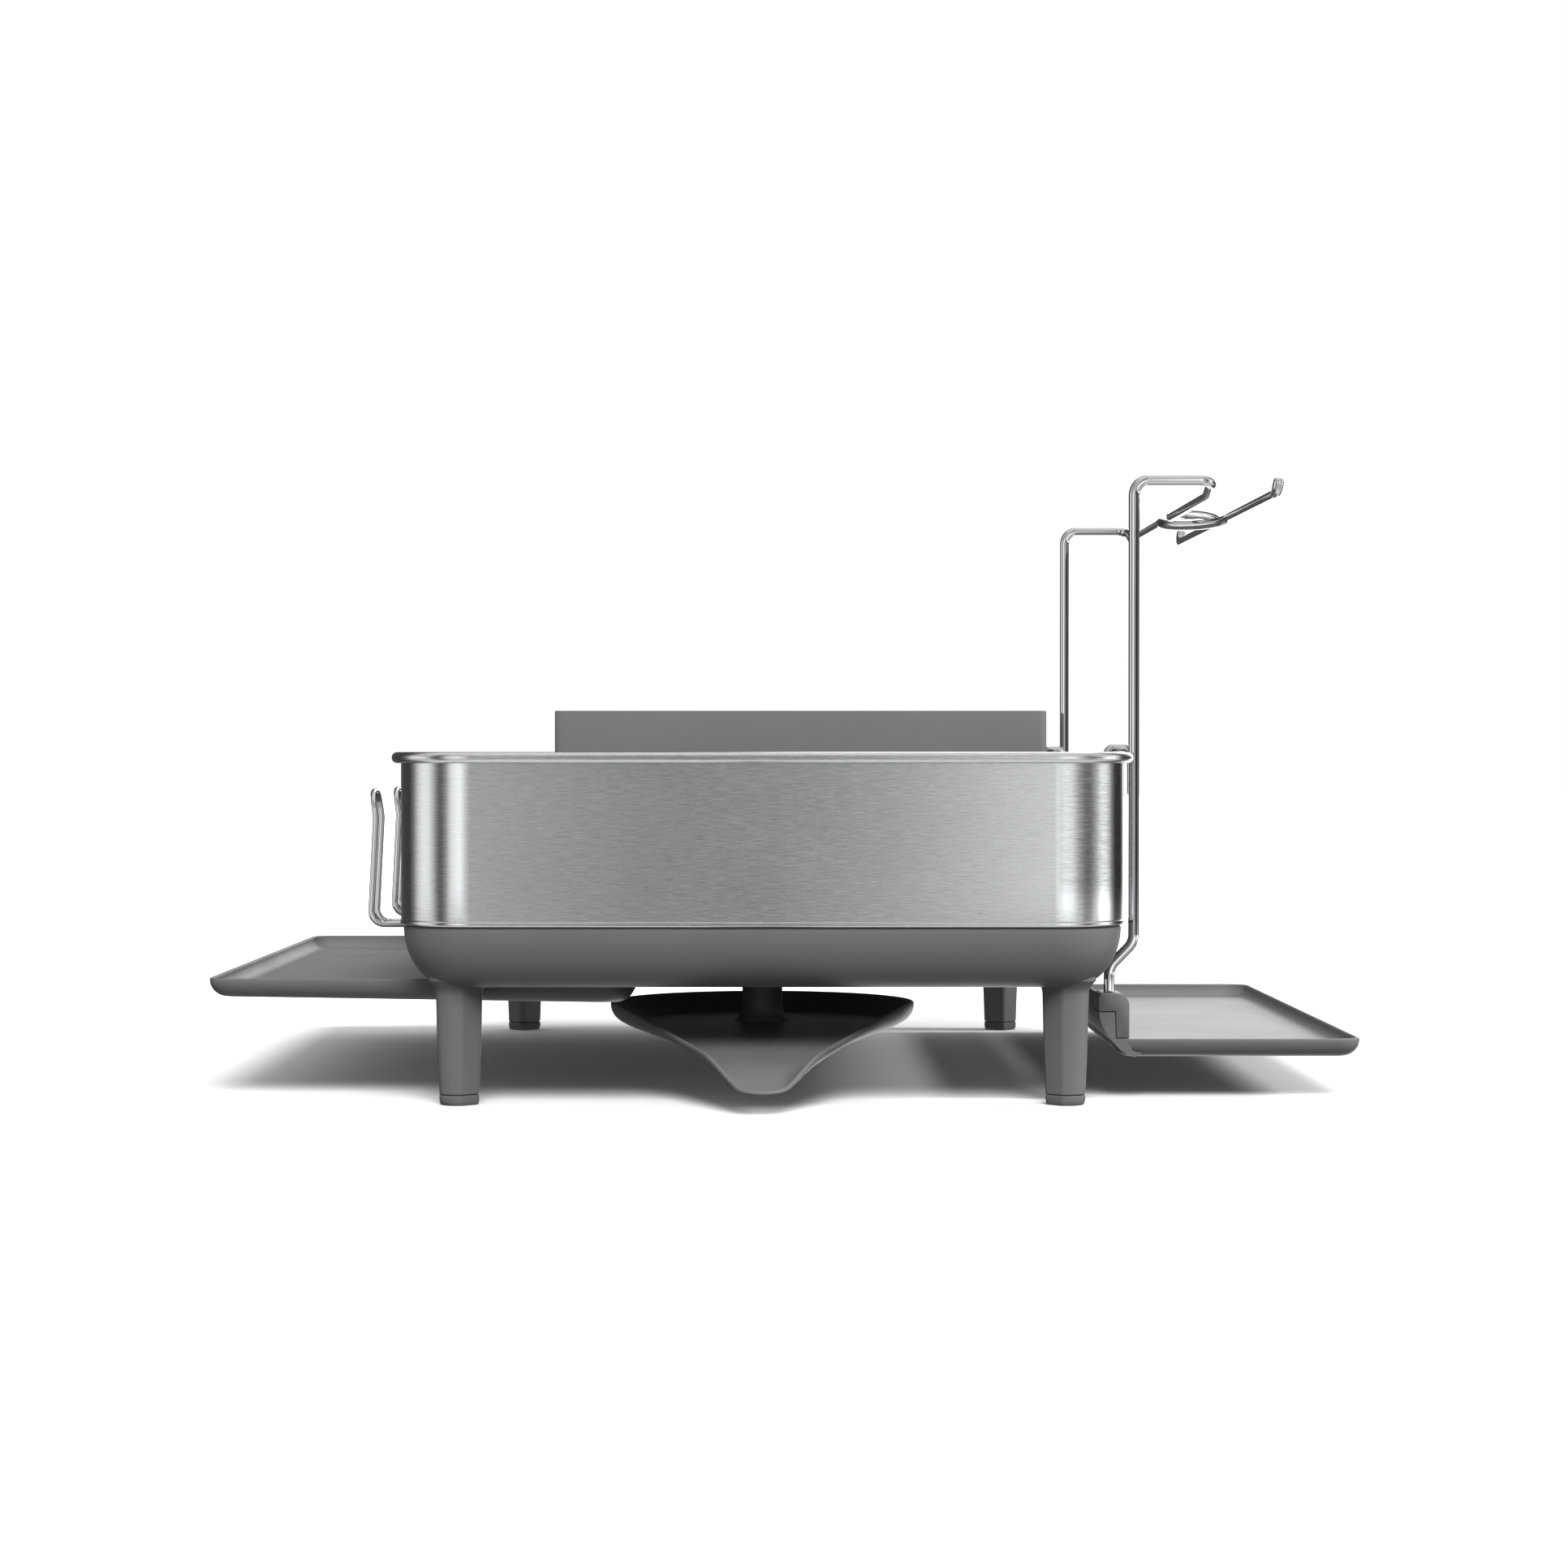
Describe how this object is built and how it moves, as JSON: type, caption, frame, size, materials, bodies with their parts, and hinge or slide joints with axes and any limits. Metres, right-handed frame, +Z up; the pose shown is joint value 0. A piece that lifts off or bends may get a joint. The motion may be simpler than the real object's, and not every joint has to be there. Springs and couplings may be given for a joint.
{
  "type": "dish drying rack",
  "caption": "Brushed steel dish drying rack on a grey drip base, with swivel spout, slide-out cup tray, cup hooks, utensil caddy and lift-off wine glass holder with drip tray.",
  "frame": {"origin": "on the surface it stands on, under the middle of the whole object's bounding box", "axes": "+Z up; -Y towards the spout end, the end the picture shows; +X towards the glass tray"},
  "size_m": [0.5274, 0.5202, 0.2854],
  "materials": {
    "steel": "horizontal brushed grain",
    "plastic": "matte fine texture, mid grey",
    "wire": "polished bright wire",
    "rubber": "matte",
    "screw": "satin"
  },
  "bodies": {
    "frame": {"steel_band": "steel", "drip_base": "plastic", "foot_pad_1": "rubber", "foot_pad_2": "rubber", "foot_pad_3": "rubber", "foot_pad_4": "rubber", "band_screw_1": "screw", "band_screw_2": "screw", "band_screw_3": "screw", "band_screw_4": "screw", "cup_hook_1": "wire", "cup_hook_2": "wire", "cup_hook_3": "wire", "cup_hook_4": "wire", "cup_hook_bar": "wire"},
    "spout": {"swivel_spout": "plastic", "spout_collar": "plastic", "spout_washer": "rubber"},
    "sliding_tray": {"cup_tray": "plastic"},
    "plate_rack": {"rack_frame": "wire", "rack_rail_left": "wire", "rack_rail_right": "wire", "rack_cross_1": "wire", "rack_cross_2": "wire", "rack_cross_3": "wire", "plate_divider_01": "wire", "plate_divider_02": "wire", "plate_divider_03": "wire", "plate_divider_04": "wire", "plate_divider_05": "wire", "plate_divider_06": "wire", "plate_divider_07": "wire", "plate_divider_08": "wire", "plate_divider_09": "wire", "plate_divider_10": "wire", "rack_foot_1": "rubber", "rack_foot_2": "rubber", "rack_foot_3": "rubber", "rack_foot_4": "rubber"},
    "caddy": {"utensil_caddy": "plastic", "caddy_divider_1": "plastic", "caddy_divider_2": "plastic"},
    "glass_holder": {"holder_wire_near": "wire", "holder_wire_far": "wire", "rim_hanger_near": "wire", "rim_hanger_far": "wire", "tray_clip_near": "plastic", "tray_clip_far": "plastic", "glass_tray": "plastic"}
  },
  "joints": [
    {"name": "spout_swivel", "type": "hinge", "parent": "frame", "child": "spout", "pos_m": [-0.01015, -0.1141, 0.045], "axis": [0, 0, 1], "range_deg": [-90, 90]},
    {"name": "cup_tray_slide", "type": "slide", "parent": "frame", "child": "sliding_tray", "axis": [1, 0, 0], "range_m": [0, 0.09]},
    {"name": "plate_rack_lift", "type": "slide", "parent": "frame", "child": "plate_rack", "axis": [0, 0, 1], "range_m": [0, 0.13]},
    {"name": "caddy_lift", "type": "slide", "parent": "frame", "child": "caddy", "axis": [0, 0, 1], "range_m": [0, 0.13]},
    {"name": "glass_holder_lift", "type": "slide", "parent": "frame", "child": "glass_holder", "axis": [0.309, 0, 0.9511], "range_m": [0, 0.06]}
  ]
}
